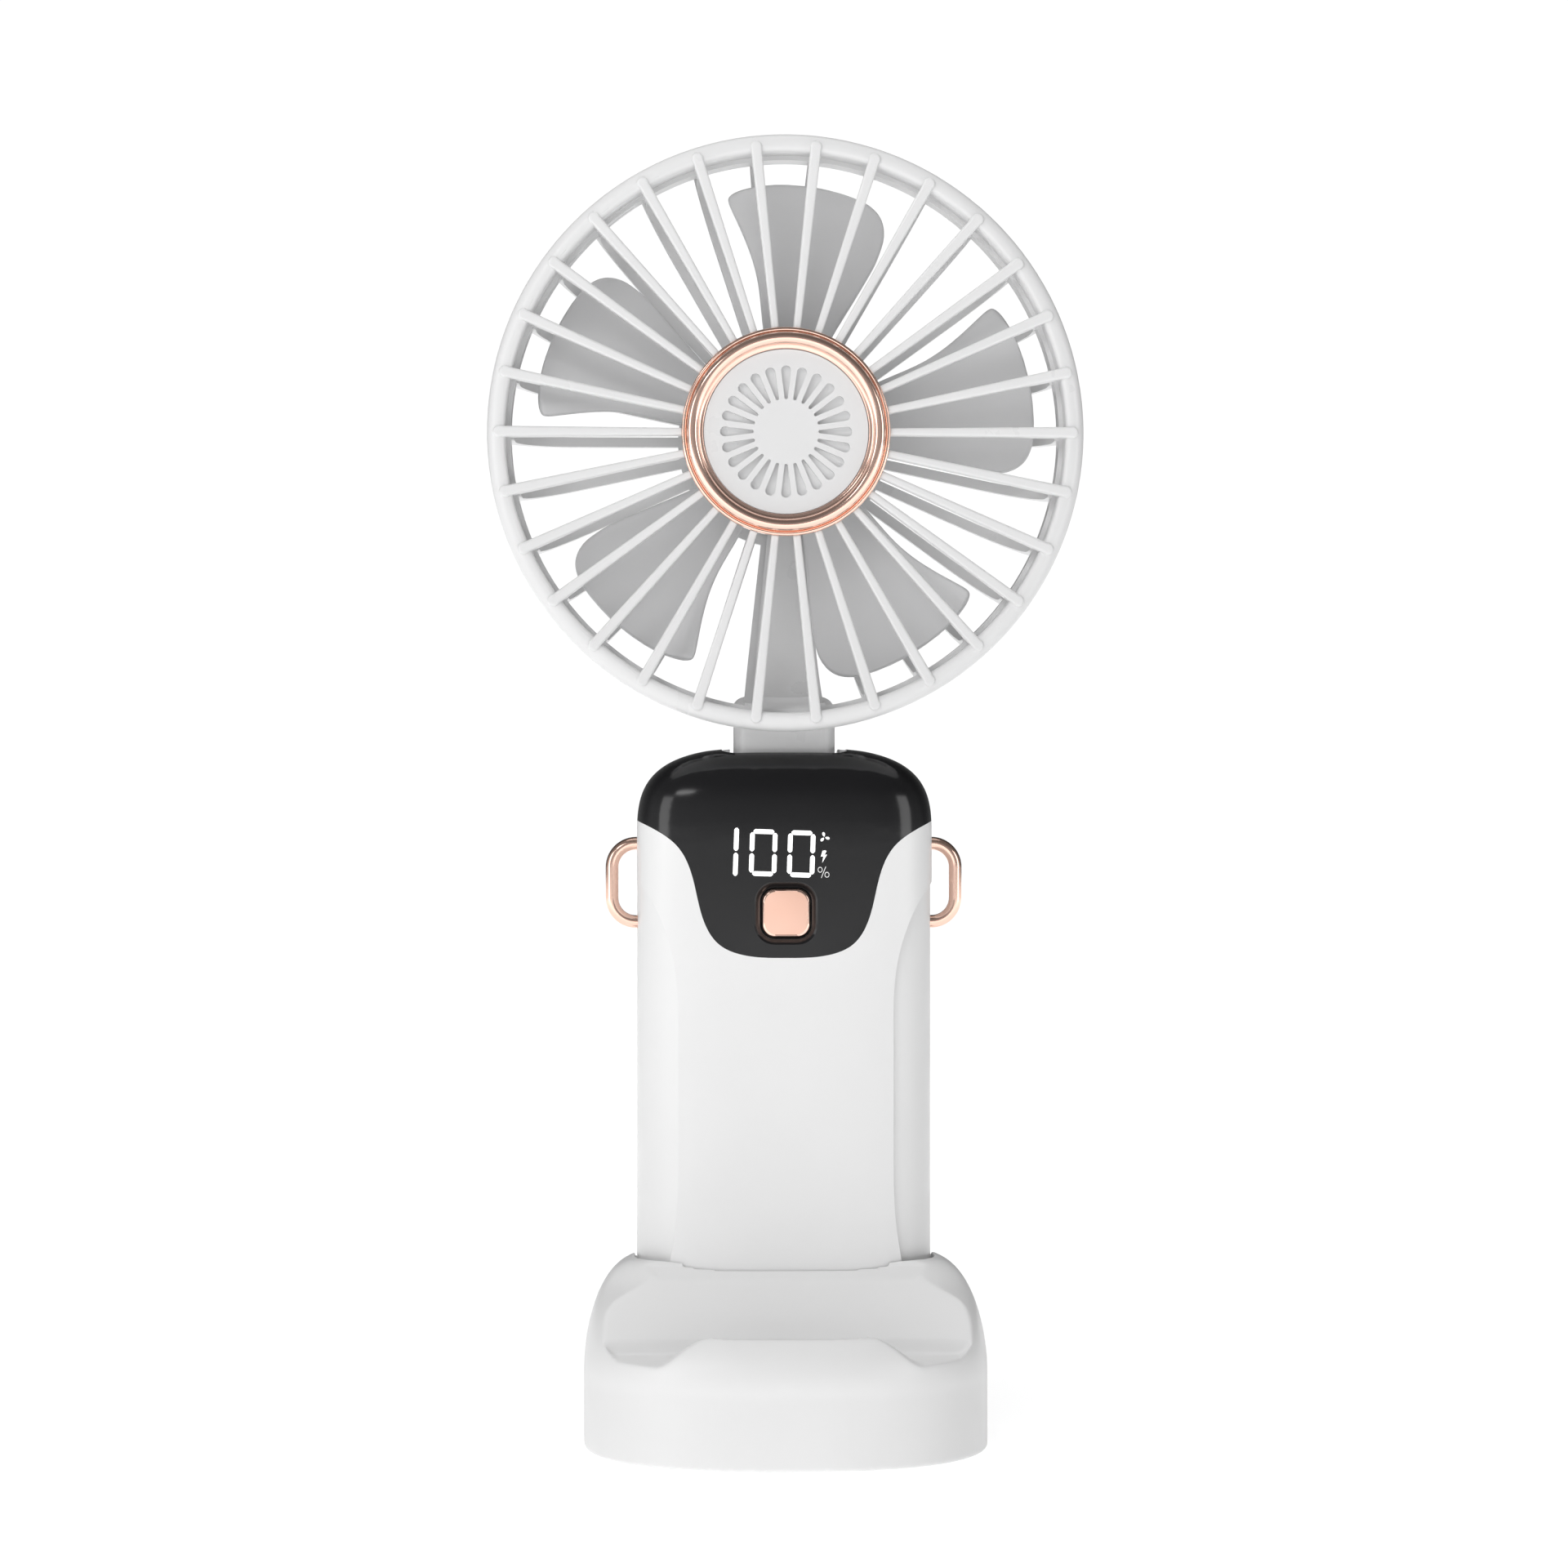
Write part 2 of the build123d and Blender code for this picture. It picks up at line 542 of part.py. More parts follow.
def front_grille():
    section = rounded_polygon([(45.0, RING_JOINT_Y), (45.0, RING_FRONT_Y), (RING_R, RING_FRONT_Y),
                               (RING_R, RING_JOINT_Y)], {1: 0.9, 2: 1.9})
    ring = spun(section)
    outline = make_face([Line((14.0, -0.58), (45.6, -0.88)),
                         ThreePointArc((45.6, -0.88), (47.0, 0), (45.6, 0.88)),
                         Line((45.6, 0.88), (14.0, 0.58)), Line((14.0, 0.58), (14.0, -0.58))])
    rib = front_prism(Pos(0, HEAD_Z) * outline, -5.5, -3.2)
    crown = [edge for edge in rib.faces().sort_by(Axis.Y)[0].edges() if edge.length > 2.5]
    rib = fillet(crown, 0.45)
    boss = tube_y(HUB_R, CAP_BOSS_R, -5.0, -3.0) + rod_y(CAP_BOSS_R + 0.5, -4.0, -3.0)
    grille = fused(ring + boss, around_head(rib, RIB_COUNT))
    save("front_grille", grille - rod_y(TRIM_R, -9, -5.0))


def rear_grille():
    ring = spun(rounded_polygon(RING_SECTION, {2: 1.8}))
    skin = spun(bowl_band(0.0, 2.2, 2.0, 16.0))
    slab = block(10, 50, 0, 30, HEAD_Z - 0.8, HEAD_Z + 0.8)
    rib = skin & slab
    hub = rod_y(REAR_HUB_R, REAR_HUB_Y, HEAD_REAR_Y)
    strut_view = polygon((-3.4, HEAD_Z - 15), (3.4, HEAD_Z - 15), (6.9, HEAD_Z - 47),
                         (-6.9, HEAD_Z - 47))
    strut = skin & front_prism(strut_view, 0, 30)
    rail_band = spun(bowl_band(2.0, COVER_OUTER, RING_REAR_Y + 1.0, 16.0))
    rail_view = polygon((2.5, HEAD_Z - 15), (1.8, HEAD_Z - 15), (4.8, HEAD_Z - 47),
                        (5.5, HEAD_Z - 47))
    rails = mirrored_x(rail_band & front_prism(rail_view, 5, 30))
    cage = fused(ring + hub, around_head(rib, RIB_COUNT))
    cage = fused(cage, [strut] + rails)
    cage = cage - block(-1.8, 1.8, 6.9, 10.2, HEAD_Z - 50, HEAD_Z - 42.9)
    for hole in around_head(rod_y(0.9, 10, 30, 7.2, HEAD_Z), 3, 90):
        cage = cage - hole
    for hole in around_head(rod_y(1.8, 17.3, 30, 7.2, HEAD_Z), 3, 90):
        cage = cage - hole
    save("rear_grille", cage)
    cover_start = 14.8
    cover_view = polygon((-2.5, HEAD_Z - cover_start), (2.5, HEAD_Z - cover_start),
                         (5.5, HEAD_Z - 47), (-5.5, HEAD_Z - 47))
    channel_end = RING_REAR_Y + 1.0
    cover_r, skin_r = BOWL_CENTRE_R + 12.0 - COVER_INNER, BOWL_CENTRE_R + 12.0 - 2.2
    end_wall = spun(polygon((cover_r, channel_end - 0.6), (skin_r, channel_end - 0.6),
                            (skin_r, channel_end), (cover_r, channel_end)))
    cover_band = spun(bowl_band(COVER_OUTER, COVER_INNER, channel_end, 14.0)) + end_wall
    save("wire_cover", cover_band & front_prism(cover_view, channel_end - 1.0, 30))


def neck_parts():
    plan = Pos(0, PIVOT_Y) * RectangleRounded(2 * NECK_HALF_X, 2 * NECK_HALF_Y, 2.6)
    column = plan_prism(plan, PIVOT_Z, 128)
    barrel = rod_x(NECK_HALF_Y, -NECK_HALF_X, NECK_HALF_X, PIVOT_Y, PIVOT_Z)
    neck = column + barrel - head_envelope()
    neck = neck - rod_x(PIN_R + PIN_GAP, -12, 12, PIVOT_Y, PIVOT_Z)
    neck = neck - plan_prism(Pos(0, 8.6) * RectangleRounded(10.4, 5.6, 1.2), 107.0, 130)
    holes = mirrored_x(rod_y(0.8, 4.2, 20, 6.6, 109.5))
    recesses = mirrored_x(rod_y(1.45, 13.6, 20, 6.6, 109.5))
    for cut in holes + recesses:
        neck = neck - cut
    front = neck & block(-20, 20, -20, PIVOT_Y, 80, 140)
    rear = neck & block(-20, 20, PIVOT_Y, 40, 80, 140)
    save("neck_front_shell", front)
    save("neck_rear_shell", rear)
    fastener = Pos(6.6, 13.6, 109.5) * (Rot(-90, 0, 0) * screw(1.4, 0.8, 0.8, 9.0))
    save("neck_screws", *mirrored_x(fastener))


def hub_parts():
    trim = [(TRIM_BORE_R, -5.0), (TRIM_BORE_R, -5.6), (13.55, -6.0), (13.9, -6.15), (14.0, -6.6),
            (14.5, -7.0), (15.2, -7.1), (15.9, -6.8), (16.25, -6.2), (16.6, -6.0), (TRIM_R, -5.6),
            (TRIM_R, -5.0)]
    save("trim_ring", spun(polygon(*trim)))
    cap = rod_y(TRIM_BORE_R - 0.1, -5.6, -5.0) + rod_y(CAP_BOSS_R, -5.0, -4.0)
    slot = make_face([Line((5.5, -0.27), (9.8, -0.8)), ThreePointArc((9.8, -0.8), (10.6, 0), (9.8, 0.8)),
                      Line((9.8, 0.8), (5.5, 0.27)), ThreePointArc((5.5, 0.27), (5.2, 0), (5.5, -0.27))])
    cut = front_prism(Pos(0, HEAD_Z) * slot, -7, -4.6)
    for item in around_head(cut, 24, 90):
        cap = cap - item
    save("hub_cap", cap)
    rear_cap = spun(polygon((0, HEAD_REAR_Y), (14.6, HEAD_REAR_Y), (14.6, 19.0), (13.8, 19.6),
                            (0, 20.0)))
    save("rear_hub_cap", rear_cap)


LEAD_R = 0.3
# Where the motor's leads run, as (radius, y): off the board, down the channel, into the neck.
LEAD_RUN = [(10.9, 13.8), (11.5, 13.95), (12.5, 14.9), (13.3, 15.65), (14.4, 15.88),
            (16.0, 15.9), (18.0, 15.9), (22.0, 15.9), (26.0, 15.9), (30.0, 15.9), (34.0, 15.9),
            (38.7, 14.64), (41.5, 12.2), (42.8, 9.75), (44.2, 8.3), (46.5, 8.0), (50.0, 8.2),
            (54.0, 8.4)]


def motor_parts():
    tube = tube_y(4.6, 3.5, 2.5, REAR_HUB_Y) + tube_y(9.2, 4.0, 15.3, REAR_HUB_Y)
    for hole in around_head(rod_y(0.7, 10, 18, 7.2, HEAD_Z), 3, 90):
        tube = tube - hole
    save("bearing_tube", tube)
    for name, low in (("front_bearing", 2.5), ("rear_bearing", 12.3)):
        bearing = tube_y(3.5, BEARING_BORE_R, low, low + 3.0)
        bearing = bearing - tube_y(2.9, 2.1, low - 1, low + 0.25)
        bearing = bearing - tube_y(2.9, 2.1, low + 2.75, low + 4)
        save(name, bearing)
    core = tube_y(6.4, 4.6, 5.0, 11.0)
    tooth = block(6.2, 10.2, 5.0, 11.0, HEAD_Z - 0.9, HEAD_Z + 0.9)
    tip = (tube_y(10.8, 9.9, 5.0, 11.0) & block(9, 12, 5.0, 11.0, HEAD_Z - 3.0, HEAD_Z + 3.0))
    save("stator_core", fused(core, around_head(tooth + tip, 9)))
    coil = block(6.7, 9.6, 4.0, 12.0, HEAD_Z - 1.7, HEAD_Z + 1.7)
    coil = coil - block(6, 11, 5.0, 11.0, HEAD_Z - 0.9, HEAD_Z + 0.9)
    save("stator_coils", *around_head(coil, 9))
    board = tube_y(10.6, 4.6, 13.3, 14.3)
    save("motor_board", board)
    fastener = Pos(0, 17.3, HEAD_Z + 7.2) * (Rot(-90, 0, 0) * screw(1.6, 0.9, 0.7, 1.9))
    save("motor_screws", *around_head(fastener, 3))

    leads = []
    for x in (-1.0, 0.0, 1.0):
        path = Spline(*[(x, y, HEAD_Z - radius) for radius, y in LEAD_RUN])
        start = Plane(origin=path @ 0, z_dir=path % 0)
        leads.append(sweep(start * Circle(LEAD_R), path=path))
    save("motor_leads", *leads)


# Outline of a blade as (radius, degrees clockwise from the middle of its root).
BLADE_OUTLINE = [(13.0, -18.5), (17.9, -17.4), (22.4, -16.2), (25.6, -15.9), (28.9, -16.4),
                 (32.4, -17.5), (36.0, -18.8), (38.6, -19.4), (40.0, -18.2), (40.5, -15.0),
                 (40.85, -8.8), (41.0, 0.0), (41.0, 8.0), (40.8, 12.5), (40.0, 16.8),
                 (38.2, 19.7), (35.5, 21.2), (31.0, 21.9), (25.0, 21.2), (19.0, 19.8),
                 (13.0, 18.2)]


def blade_section(radius):
    """Thin cambered strip across a blade, on the plane at the given radius."""
    lead = (radius * math.tan(math.radians(20.5)), -0.6)
    belly = (-radius * math.tan(math.radians(2.4)), 5.2)
    trail = (-radius * math.tan(math.radians(23.0)), 9.0)
    thick = 1.1
    face = make_face([ThreePointArc(lead, belly, trail), Line(trail, (trail[0], trail[1] + thick)),
                      ThreePointArc((trail[0], trail[1] + thick), (belly[0], belly[1] + thick),
                                    (lead[0], lead[1] + thick)),
                      Line((lead[0], lead[1] + thick), lead)])
    plane = Plane(origin=(radius, 0, HEAD_Z), x_dir=(0, 0, 1), z_dir=(-1, 0, 0))
    return plane * face


def rotor_parts():
    strip = loft([blade_section(12.8), blade_section(42.0)])
    points = []
    for radius, degrees in BLADE_OUTLINE:
        angle = math.radians(degrees)
        points.append((radius * math.cos(angle), -radius * math.sin(angle)))
    outline = make_face([Spline(*points), Line(points[-1], points[0])])
    blade = strip & front_prism(Pos(0, HEAD_Z) * outline, -5, 20)
    blade = blade - rod_y(13.9, -5, 20)
    blades = around_head(blade, BLADE_COUNT, 84.25)
    hub = spun(polygon((0, -1.9), (13.6, -1.9), (14.8, -0.9), (14.8, 12.4), (13.3, 12.4),
                       (13.3, 0.0), (6.0, 0.0), (6.0, 1.2), (0, 1.2)))
    shaft_hole = rod_y(SHAFT_R, -0.8, 5)
    save("impeller", fused(hub, blades) - shaft_hole)
    cup = spun(polygon((SHAFT_R, 1.2), (13.3, 1.2), (13.3, 12.4), (12.7, 12.4), (12.7, 1.9),
                       (3.0, 1.9), (3.0, 2.2), (SHAFT_R, 2.2)))
    save("rotor_cup", cup)
    save("magnet_ring", tube_y(12.7, 11.4, 4.0, 12.0))
    shaft = rod_y(SHAFT_R, -0.8, 16.2) - tube_y(SHAFT_R + 1, 1.1, 15.5, 15.9)
    save("motor_shaft", shaft)
    clip = tube_y(2.4, 1.1, 15.5, 15.9) - block(0, 5, 15, 17, HEAD_Z - 0.9, HEAD_Z + 0.9)
    save("shaft_clip", clip)


base_parts()
handle_parts()
button_parts()
electronics_parts()
battery_parts()
hinge_parts()
front_grille()
rear_grille()
neck_parts()
hub_parts()
motor_parts()
rotor_parts()
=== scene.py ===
import json
import math

import bmesh
import bpy
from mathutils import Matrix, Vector


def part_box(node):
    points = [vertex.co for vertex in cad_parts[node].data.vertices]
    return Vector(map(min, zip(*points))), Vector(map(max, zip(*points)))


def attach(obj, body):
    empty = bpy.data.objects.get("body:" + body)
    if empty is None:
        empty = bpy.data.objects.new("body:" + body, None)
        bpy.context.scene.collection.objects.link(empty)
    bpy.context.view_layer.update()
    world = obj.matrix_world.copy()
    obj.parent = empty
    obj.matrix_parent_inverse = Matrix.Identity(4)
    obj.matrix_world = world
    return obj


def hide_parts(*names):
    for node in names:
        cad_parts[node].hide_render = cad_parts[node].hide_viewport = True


# Handheld electric fan in its phone-rest base, seen from the front. Metres, +Z up, the fan
# blows towards -Y.

MM = 0.001
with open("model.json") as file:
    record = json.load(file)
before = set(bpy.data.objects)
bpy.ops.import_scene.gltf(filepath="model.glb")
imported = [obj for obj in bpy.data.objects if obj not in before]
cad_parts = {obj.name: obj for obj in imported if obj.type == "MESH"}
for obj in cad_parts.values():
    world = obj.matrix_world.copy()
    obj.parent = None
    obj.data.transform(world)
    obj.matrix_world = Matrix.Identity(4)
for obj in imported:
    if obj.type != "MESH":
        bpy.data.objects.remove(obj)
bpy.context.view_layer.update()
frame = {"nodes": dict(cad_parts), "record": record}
nodes = frame["nodes"]


def middle(node):
    low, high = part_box(node)
    return (low + high) / 2


HEAD_Z = middle("front_grille").z / MM
HUB_BACK_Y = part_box("impeller")[0].y / MM
PANEL_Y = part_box("display_panel")[0].y / MM
BUTTON_Z = middle("power_button").z / MM


# ---- materials ----
def noise(tree, scale, detail=3.0, stretch=(1, 1, 1)):
    """Noise fixed to the object, so that it stays put as the camera moves."""
    coords = tree.nodes.new("ShaderNodeTexCoord")
    mapping = tree.nodes.new("ShaderNodeMapping")
    mapping.inputs["Scale"].default_value = stretch
    texture = tree.nodes.new("ShaderNodeTexNoise")
    texture.inputs["Scale"].default_value = scale
    texture.inputs["Detail"].default_value = detail
    tree.links.new(coords.outputs["Object"], mapping.inputs["Vector"])
    tree.links.new(mapping.outputs["Vector"], texture.inputs["Vector"])
    return texture.outputs["Fac"]


def ramp(tree, value, low, high):
    """A colour ramp from low to high over the middle of a noise's range."""
    node = tree.nodes.new("ShaderNodeValToRGB")
    node.color_ramp.elements[0].position = 0.3
    node.color_ramp.elements[1].position = 0.7
    node.color_ramp.elements[0].color = low
    node.color_ramp.elements[1].color = high
    tree.links.new(value, node.inputs["Fac"])
    return node.outputs["Color"]


def material(name, colour, rough, metallic=0.0, vary=0.02, rough_vary=0.05, patch=60.0,
             grain=2500.0, bump=0.05, stretch=(1, 1, 1)):
    """A procedural surface: patchy colour and roughness, and a fine bump."""
    made = bpy.data.materials.new(name)
    made.use_nodes = True
    tree = made.node_tree
    shader = tree.nodes["Principled BSDF"]
    shader.inputs["Metallic"].default_value = metallic
    low = [max(0.0, channel * (1 - vary)) for channel in colour] + [1.0]
    high = [min(1.0, channel * (1 + vary)) for channel in colour] + [1.0]
    tree.links.new(ramp(tree, noise(tree, patch), low, high), shader.inputs["Base Color"])
    smooth = [max(0.02, rough - rough_vary)] * 3 + [1.0]
    dull = [min(1.0, rough + rough_vary)] * 3 + [1.0]
    worn = noise(tree, patch * 2.3, 5.0, stretch)
    tree.links.new(ramp(tree, worn, smooth, dull), shader.inputs["Roughness"])
    relief = tree.nodes.new("ShaderNodeBump")
    relief.inputs["Strength"].default_value = bump
    relief.inputs["Distance"].default_value = 0.00005
    tree.links.new(noise(tree, grain, 2.0, stretch), relief.inputs["Height"])
    tree.links.new(relief.outputs["Normal"], shader.inputs["Normal"])
    return made


def glowing(name, colour, strength):
    """Lit display segments, a little uneven like diffused LEDs."""
    made = material(name, colour, 0.4)
    tree = made.node_tree
    shader = tree.nodes["Principled BSDF"]
    low = [channel * 0.94 for channel in colour] + [1.0]
    tree.links.new(ramp(tree, noise(tree, 400.0), low, list(colour) + [1.0]),
                   shader.inputs["Emission Color"])
    shader.inputs["Emission Strength"].default_value = strength
    return made


LOOKS = {
    "white_plastic": material("white_plastic", (0.83, 0.83, 0.83), 0.36, vary=0.01, bump=0.02),
    # painted shade: the grille is the body's white plastic, painted darker so its ring and ribs look
    # shaded
    "grille_plastic": material("grille_plastic", (0.74, 0.74, 0.742), 0.32, vary=0.01, bump=0.01),
    "black_panel": material("black_panel", (0.008, 0.008, 0.009), 0.15, vary=0.1,
                            rough_vary=0.015, bump=0.01),
    "rose_gold": material("rose_gold", (0.95, 0.66, 0.55), 0.14, metallic=1.0, rough_vary=0.03,
                          bump=0.02),
    "loop_metal": material("loop_metal", (0.95, 0.65, 0.53), 0.16, metallic=1.0,
                           rough_vary=0.03, bump=0.02),
    "button_face": material("button_face", (0.96, 0.60, 0.47), 0.32, vary=0.015),
    "blade_plastic": material("blade_plastic", (0.61, 0.61, 0.615), 0.40, vary=0.015),
    "steel": material("steel", (0.62, 0.62, 0.63), 0.30, metallic=1.0, stretch=(1, 1, 8)),
    "brass": material("brass", (0.72, 0.54, 0.26), 0.28, metallic=1.0),
    "copper": material("copper", (0.72, 0.30, 0.14), 0.35, metallic=0.9, grain=6000.0),
    "circuit_board": material("circuit_board", (0.02, 0.14, 0.06), 0.35, vary=0.2, patch=500.0),
    "foot_rubber": material("foot_rubber", (0.03, 0.03, 0.03), 0.8, bump=0.3),
    "cell_sleeve": material("cell_sleeve", (0.05, 0.18, 0.42), 0.3),
    "dark_plastic": material("dark_plastic", (0.03, 0.03, 0.03), 0.5, bump=0.1),
    "magnet": material("magnet", (0.12, 0.12, 0.13), 0.5, metallic=0.8, bump=0.2),
}
SLOTS = {row["node"]: row["material_slot"] for row in frame["record"]["subparts"]}


def finish_piece(obj, slot):
    """Gives a CAD part its material."""
    obj.data.materials.clear()
    obj.data.materials.append(LOOKS[slot])


def shade(obj, angle=32):
    """Smooth shading that keeps the edges sharper than the angle."""
    for face in obj.data.polygons:
        face.use_smooth = True
    weld = obj.modifiers.new("weld", "WELD")
    weld.merge_threshold = 2e-6
    split = obj.modifiers.new("edges", "EDGE_SPLIT")
    split.split_angle = math.radians(angle)


# ---- mesh helpers ----
def add_piece(name, verts, faces, body, slot, replaces=(), angle=32):
    """A new piece from points in millimetres. It rides on a body."""
    mesh = bpy.data.meshes.new(name)
    mesh.from_pydata([Vector(point) * MM for point in verts], [], faces)
    build = bmesh.new()
    build.from_mesh(mesh)
    bmesh.ops.remove_doubles(build, verts=build.verts, dist=2e-7)
    bmesh.ops.recalc_face_normals(build, faces=build.faces)
    build.to_mesh(mesh)
    build.free()
    obj = bpy.data.objects.new(name, mesh)
    bpy.context.scene.collection.objects.link(obj)
    obj.data.materials.append(LOOKS[slot])
    shade(obj, angle)
    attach(obj, body)
    if replaces:
        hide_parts(*replaces)
    return obj


def grid_faces(rows, columns, wrap_rows=False, wrap_columns=True):
    """Quads over points laid out row by row."""
    faces = []
    for row in range(rows if wrap_rows else rows - 1):
        for column in range(columns if wrap_columns else columns - 1):
            below, beside = (row + 1) % rows, (column + 1) % columns
            faces.append((row * columns + column, row * columns + beside,
                          below * columns + beside, below * columns + column))
    return faces


def lathe(name, profile, body, slot, replaces=(), steps=160):
    """A closed (radius, depth) profile turned about the head's axis."""
    verts = []
    for step in range(steps):
        angle = 2 * math.pi * step / steps
        for radius, depth in profile:
            verts.append((radius * math.sin(angle), depth, HEAD_Z + radius * math.cos(angle)))
    faces = grid_faces(steps, len(profile), wrap_rows=True)
    return add_piece(name, verts, faces, body, slot, replaces)


def arc(centre, radius, start, end, steps=10):
    """Points of an arc in (radius, depth), in degrees from the radius axis."""
    points = []
    for step in range(steps + 1):
        angle = math.radians(start + (end - start) * step / steps)
        points.append((centre[0] + radius * math.cos(angle), centre[1] + radius * math.sin(angle)))
    return points


def smooth_line(points, steps=12):
    """A Catmull-Rom curve through points, as a list of points."""
    padded = [points[0]] + list(points) + [points[-1]]
    line = []
    for index in range(len(points) - 1):
        a, b, c, d = (Vector(padded[index + offset]) for offset in range(4))
        for step in range(steps):
            t = step / steps
            line.append(0.5 * (2 * b + (c - a) * t + (2 * a - 5 * b + 4 * c - d) * t * t
                               + (3 * b - a - 3 * c + d) * t ** 3))
    line.append(Vector(points[-1]))
    return line


# ---- impeller ----
LEAD_EDGE = [(13.0, -12.8), (17.9, -11.6), (22.4, -10.4), (25.6, -10.1), (28.9, -10.6),
             (32.4, -11.7), (36.0, -13.0), (38.6, -13.7), (39.7, -12.9), (40.4, -9.6),
             (40.85, -3.0), (41.0, 8.0)]
TRAIL_EDGE = [(13.0, 24.0), (19.0, 25.6), (25.0, 27.0), (31.0, 27.7), (34.0, 27.4),
              (37.0, 26.4), (39.3, 24.0), (40.5, 20.6), (40.9, 16.0), (41.0, 8.0)]
BLADE_THICKNESS = 1.1
BLADE_ROUND = 0.5           # the blade's edges round over within this distance
FOLD_WIDTH = 1.9            # the folded band along the leading edge
BLADE_COUNT = 5
BLADE_START = 13.6          # the blades begin inside the hub's wall
BLADE_NEAR_TIP = 38.0
BLADE_TIP_ROWS = [38.3, 38.6, 38.9, 39.2, 39.5, 39.8, 40.05, 40.25, 40.4, 40.5, 40.6, 40.7, 40.8,
                  40.88, 40.94, 40.98, 41.0]
# The depth falls along a parabola from this angle over this many degrees, trail to lead.
BLADE_MIDDLE = 7.0
BLADE_SPREAD = 21.3
SHAFT_R = 1.47


def edge_angle(line, radius):
    """The angle of an edge line at a radius."""
    for low, high in zip(line, line[1:]):
        if low[0] <= radius <= high[0]:
            share = (radius - low[0]) / max(high[0] - low[0], 1e-9)
            return low[1] + (high[1] - low[1]) * share
    return line[-1][1]


def blade_depth(degrees, from_lead):
    """Depth of the blade's middle surface: cambered, with a flatter fold at the lead."""
    t = (BLADE_MIDDLE - degrees) / BLADE_SPREAD
    depth = 4.95 - 4.71 * t - 0.72 * t * t
    fold = max(0.0, FOLD_WIDTH - from_lead)
    return depth + 0.42 * fold * fold / (fold + 0.35)


def blade_points():
    """Front and back surface points of one blade, row by row from hub to tip."""
    lead, trail = smooth_line(LEAD_EDGE), smooth_line(TRAIL_EDGE)
    steps = 26
    rows = [BLADE_START + (BLADE_NEAR_TIP - BLADE_START) * step / steps for step in range(steps + 1)]
    rows += BLADE_TIP_ROWS
    near = [0.0, 0.03, 0.1, 0.2, 0.32, 0.46, 0.62]
    columns = 40
    outline = []
    for radius, degrees in lead + trail[::-1]:
        angle = math.radians(degrees)
        outline.append(Vector((radius * math.sin(angle), radius * math.cos(angle))))
    front, back = [], []
    for radius in rows:
        low, high = edge_angle(lead, radius), edge_angle(trail, radius)
        span = math.radians(high - low) * radius
        inset = [min(step, span * (0.5 * index / len(near))) for index, step in enumerate(near)]
        inner = [inset[-1] + (span - 2 * inset[-1]) * (index + 1) / (columns + 1)
                 for index in range(columns)]
        places = inset + inner + [span - step for step in reversed(inset)]
        for place in places:
            angle = math.radians(low) + place / radius
            point = Vector((radius * math.sin(angle), radius * math.cos(angle)))
            edge = min(distance_to(point, a, b) for a, b in zip(outline, outline[1:]))
            swell = 1 - min(edge, BLADE_ROUND) / BLADE_ROUND
            half = 0.5 * BLADE_THICKNESS * math.sqrt(max(0.0, 1 - swell * swell))
            depth = blade_depth(math.degrees(angle), place) + 0.5 * BLADE_THICKNESS
            front.append((point.x, depth - half, HEAD_Z + point.y))
            back.append((point.x, depth + half, HEAD_Z + point.y))
    return front, back, len(rows), len(near) * 2 + columns


def distance_to(point, a, b):
    """How far a point is from the stretch between two others."""
    along = b - a
    share = max(0.0, min(1.0, (point - a).dot(along) / max(along.length_squared, 1e-12)))
    return (point - (a + along * share)).length


def turned(point, degrees):
    """A point turned clockwise about the head's axis, seen from the front."""
    angle = math.radians(degrees)
    x, z = point[0], point[2] - HEAD_Z
    return (x * math.cos(angle) + z * math.sin(angle), point[1],
            HEAD_Z - x * math.sin(angle) + z * math.cos(angle))


def impeller():
    front, back, rows, columns = blade_points()
    faces = grid_faces(rows, columns, wrap_columns=False)
    base_end = [(index, index + 1, len(front) + index + 1, len(front) + index)
                for index in range(columns - 1)]
    verts, quads = [], []
    for blade in range(BLADE_COUNT):
        offset = len(verts)
        verts += [turned(point, 360.0 * blade / BLADE_COUNT) for point in front + back]
        quads += [tuple(offset + index for index in face) for face in faces]
        quads += [tuple(offset + len(front) + index for index in reversed(face)) for face in faces]
        quads += [tuple(offset + index for index in face) for face in base_end]
    add_piece("impeller_blades", verts, quads, "rotor", "blade_plastic", angle=60)
    cap = HUB_BACK_Y
    profile = [(0.0, cap), (12.6, cap), (13.4, cap + 0.12), (14.2, cap + 0.45), (14.65, cap + 0.95),
               (14.8, cap + 1.6), (14.8, 12.4), (13.3, 12.4), (13.3, 0.0), (6.0, 0.0), (6.0, 1.2),
               (SHAFT_R, 1.2), (SHAFT_R, -0.8), (0.0, -0.8)]
    lathe("impeller_hub", profile, "rotor", "blade_plastic", ["impeller"])


impeller()


# ---- trim ring round the hub ----
def trim_ring():
    profile = [(13.3, -5.0), (13.3, -5.7)]
    profile += arc((13.5, -5.75), 0.2, 180, 270, 5)
    profile += [(13.7, -5.97), (13.86, -6.02)]
    profile += arc((15.0, -6.1), 1.03, 180, 360, 26)
    profile += [(16.06, -6.0)]
    profile += arc((16.4, -5.82), 0.36, 200, 360, 12)
    profile += [(16.78, -5.0)]
    lathe("trim_bezel", profile, "head", "rose_gold", ["trim_ring"], 240)


trim_ring()


# ---- flat shapes on the control panel ----
def plate(verts, faces, outline, low, high):
    """Adds a closed prism from an outline in (x, z), between two depths."""
    offset, count = len(verts), len(outline)
    verts += [(x, low, z) for x, z in outline] + [(x, high, z) for x, z in outline]
    faces.append(tuple(offset + index for index in range(count)))
    faces.append(tuple(offset + count + index for index in reversed(range(count))))
    for index in range(count):
        beside = (index + 1) % count
        faces.append((offset + index, offset + count + index, offset + count + beside,
                      offset + beside))


DISPLAY_TILT = math.radians(1.9)
DISPLAY_MIDDLE = (-1.0, 95.4)


